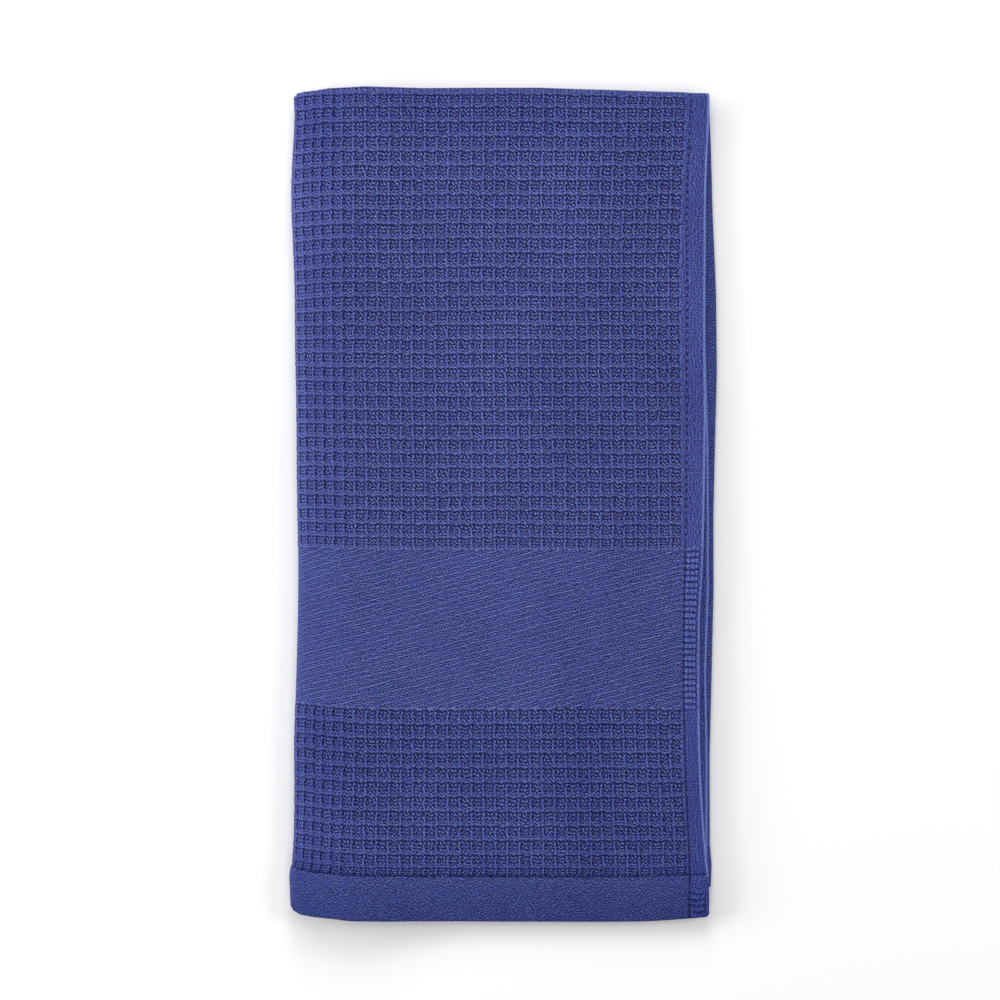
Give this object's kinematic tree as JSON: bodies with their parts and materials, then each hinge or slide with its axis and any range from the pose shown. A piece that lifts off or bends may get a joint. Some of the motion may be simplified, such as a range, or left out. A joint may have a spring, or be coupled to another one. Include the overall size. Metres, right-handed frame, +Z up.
{
  "type": "hand towel, folded in four",
  "caption": "Cotton waffle-weave hand towel with a twill band and turned hems, folded in half end to end and again side to side.",
  "frame": {"origin": "middle of the folded bundle's underside, on the surface that it rests on", "axes": "+X across the bundle from the lengthwise fold to the free side hems, +Y along it from the end hems to the end-to-end fold, +Z up"},
  "size_m": [0.2558, 0.5016, 0.0152],
  "materials": {
    "cotton_waffle": "matt woven cotton, waffle cells with a plain twill band, hems turned and stitched"
  },
  "bodies": {
    "root": {"towel": "cotton_waffle"}
  },
  "joints": []
}
